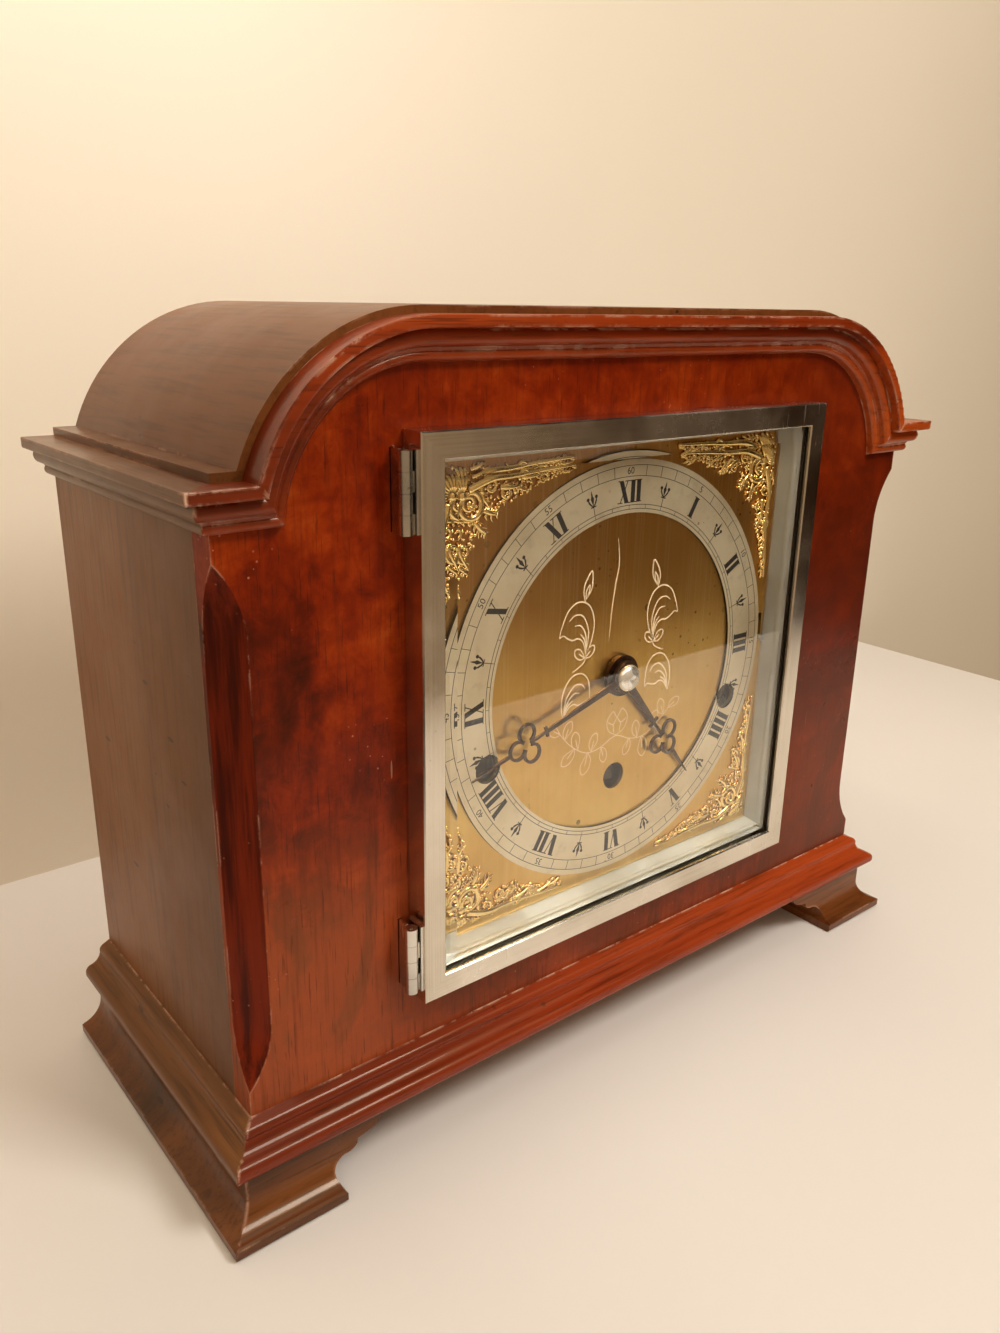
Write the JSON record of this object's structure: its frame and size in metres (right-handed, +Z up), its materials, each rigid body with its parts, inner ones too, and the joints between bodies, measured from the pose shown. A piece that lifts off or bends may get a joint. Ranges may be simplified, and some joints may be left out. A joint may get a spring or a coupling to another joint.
{
  "type": "mantel clock",
  "caption": "Bracket-style mantel clock with an arched wooden case on bracket feet, a square hinged glass bezel, a Roman dial and a chiming key-wound movement.",
  "frame": {"origin": "middle of the footprint on the table, under the feet", "axes": "+X to the right of a person who faces the dial, +Y from the dial to the back, +Z up"},
  "size_m": [0.31, 0.126, 0.2533],
  "materials": {
    "figured_veneer": "semi-gloss figured red-brown veneer",
    "side_veneer": "satin brown veneer",
    "roof_veneer": "satin brown veneer",
    "moulding_wood": "glossy dark red-brown",
    "side_moulding_wood": "satin red-brown",
    "plinth_wood": "glossy red-brown",
    "foot_wood": "satin dark brown",
    "plain_wood": "bare softwood and plywood",
    "small_brass": "lightly tarnished",
    "bezel_metal": "brushed silver plate, finely scratched",
    "dial_glass": "clear, bevelled at its edges",
    "retainer_metal": "dull dark metal",
    "hinge_metal": "worn plate",
    "dial_brass": "vertically brushed, spotted",
    "silvered_ring": "matt silvered, lightly tarnished",
    "surround_metal": "satin silver",
    "gilt_casting": "gilt casting with dark recesses",
    "steel": "plain machined",
    "hand_metal": "dark bronze brown",
    "nut_metal": "polished",
    "wheel_brass": "machined",
    "plate_brass": "lacquered",
    "rod_bronze": "drawn bronze",
    "block_iron": "dark paint"
  },
  "bodies": {
    "case": {"front_panel": "figured_veneer", "side_panel_left": "side_veneer", "side_panel_right": "side_veneer", "case_roof": "roof_veneer", "roof_ledges": "moulding_wood", "base_board": "plain_wood", "arch_moulding": "moulding_wood", "cornice_front_left": "moulding_wood", "cornice_front_right": "moulding_wood", "cornice_side_left": "side_moulding_wood", "cornice_side_right": "side_moulding_wood", "plinth_front": "plinth_wood", "plinth_side_left": "side_moulding_wood", "plinth_side_right": "side_moulding_wood", "foot_runner_left": "foot_wood", "foot_runner_right": "foot_wood", "foot_bracket_left": "foot_wood", "foot_bracket_right": "foot_wood", "back_board": "plain_wood", "back_hinge_case_leaves": "small_brass", "bezel_hinge_case_leaves": "hinge_metal", "dial_plate": "dial_brass", "chapter_ring": "silvered_ring", "dial_surround": "surround_metal", "spandrels": "gilt_casting", "movement_plate_front": "plate_brass", "movement_plate_rear": "plate_brass", "movement_posts": "steel", "balance_platform": "plate_brass", "chime_rods": "rod_bronze", "chime_block": "block_iron", "seat_board": "plain_wood"},
    "bezel_door": {"bezel_frame": "bezel_metal", "bezel_glass": "dial_glass", "bezel_retainer": "retainer_metal", "bezel_hinge_door_leaves": "hinge_metal", "bezel_catch_stud": "hinge_metal"},
    "rear_door": {"back_door": "plain_wood", "back_hinge_door_leaves": "small_brass", "back_door_knob": "small_brass"},
    "lever": {"chime_lever": "steel"},
    "hour_work": {"hour_hand": "hand_metal", "hour_wheel": "wheel_brass"},
    "minute_work": {"minute_hand": "hand_metal", "hand_nut": "nut_metal", "cannon_pinion": "steel", "centre_arbor": "steel"},
    "minute_wheel_work": {"minute_wheel": "wheel_brass"},
    "going_barrel_work": {"going_barrel": "wheel_brass"},
    "strike_barrel_work": {"strike_barrel": "wheel_brass"},
    "chime_barrel_work": {"chime_barrel": "wheel_brass"},
    "going_winder": {"going_winding_arbor": "steel"},
    "strike_winder": {"strike_winding_arbor": "steel"},
    "chime_winder": {"chime_winding_arbor": "steel"},
    "balance": {"balance_wheel": "wheel_brass"},
    "hammer_one": {"chime_hammer_1": "small_brass"},
    "hammer_two": {"chime_hammer_2": "small_brass"},
    "hammer_three": {"chime_hammer_3": "small_brass"},
    "hammer_four": {"chime_hammer_4": "small_brass"}
  },
  "joints": [
    {"name": "bezel_door_hinge", "type": "hinge", "parent": "case", "child": "bezel_door", "pos_m": [-0.0909, -0.056, 0.138], "axis": [0, 0, -1], "range_deg": [0, 110]},
    {"name": "back_door_hinge", "type": "hinge", "parent": "case", "child": "rear_door", "pos_m": [-0.095, 0.0578, 0.12], "axis": [0, 0, 1], "range_deg": [0, 100]},
    {"name": "chime_lever_slide", "type": "slide", "parent": "case", "child": "lever", "axis": [0, 0, 1], "range_m": [0, 0.008]},
    {"name": "going_barrel_turn", "type": "hinge", "parent": "case", "child": "going_barrel_work", "pos_m": [-0.0026, -0.015, 0.1018], "axis": [0, 1, 0], "continuous": true},
    {"name": "minute_hand_turn", "type": "hinge", "parent": "case", "child": "minute_work", "pos_m": [-0.0026, -0.05, 0.1384], "axis": [0, 1, 0], "continuous": true},
    {"name": "hour_hand_turn", "type": "hinge", "parent": "case", "child": "hour_work", "pos_m": [-0.0026, -0.05, 0.1384], "axis": [0, 1, 0], "continuous": true},
    {"name": "minute_wheel_turn", "type": "hinge", "parent": "case", "child": "minute_wheel_work", "pos_m": [0.0099, -0.038, 0.1384], "axis": [0, 1, 0], "continuous": true},
    {"name": "strike_barrel_turn", "type": "hinge", "parent": "case", "child": "strike_barrel_work", "pos_m": [-0.0576, -0.015, 0.119], "axis": [0, 1, 0], "continuous": true},
    {"name": "chime_barrel_turn", "type": "hinge", "parent": "case", "child": "chime_barrel_work", "pos_m": [0.0524, -0.015, 0.119], "axis": [0, 1, 0], "continuous": true},
    {"name": "strike_winding", "type": "hinge", "parent": "case", "child": "strike_winder", "pos_m": [-0.0576, -0.04, 0.119], "axis": [0, 1, 0], "continuous": true},
    {"name": "going_winding", "type": "hinge", "parent": "case", "child": "going_winder", "pos_m": [-0.0026, -0.04, 0.1018], "axis": [0, 1, 0], "continuous": true},
    {"name": "chime_winding", "type": "hinge", "parent": "case", "child": "chime_winder", "pos_m": [0.0524, -0.04, 0.119], "axis": [0, 1, 0], "continuous": true},
    {"name": "balance_swing", "type": "hinge", "parent": "case", "child": "balance", "pos_m": [0.034, 0.016, 0.168], "axis": [0, 1, 0], "range_deg": [-135, 135], "stiffness_Nm_per_rad": 0.00005},
    {"name": "hammer_one_lift", "type": "hinge", "parent": "case", "child": "hammer_one", "pos_m": [0.04199, 0.018, 0.074], "axis": [0, -1, 0], "range_deg": [0, 20], "stiffness_Nm_per_rad": 0.004, "springref_deg": -22.92},
    {"name": "hammer_two_lift", "type": "hinge", "parent": "case", "child": "hammer_two", "pos_m": [0.04199, 0.025, 0.074], "axis": [0, -1, 0], "range_deg": [0, 20], "stiffness_Nm_per_rad": 0.004, "springref_deg": -22.92},
    {"name": "hammer_three_lift", "type": "hinge", "parent": "case", "child": "hammer_three", "pos_m": [0.04199, 0.032, 0.074], "axis": [0, -1, 0], "range_deg": [0, 20], "stiffness_Nm_per_rad": 0.004, "springref_deg": -22.92},
    {"name": "hammer_four_lift", "type": "hinge", "parent": "case", "child": "hammer_four", "pos_m": [0.04199, 0.039, 0.074], "axis": [0, -1, 0], "range_deg": [0, 20], "stiffness_Nm_per_rad": 0.004, "springref_deg": -22.92}
  ],
  "couplings": [
    {"joint": "minute_hand_turn", "follows": "going_barrel_turn", "ratio": -9},
    {"joint": "hour_hand_turn", "follows": "going_barrel_turn", "ratio": -0.75},
    {"joint": "minute_wheel_turn", "follows": "going_barrel_turn", "ratio": 3}
  ]
}
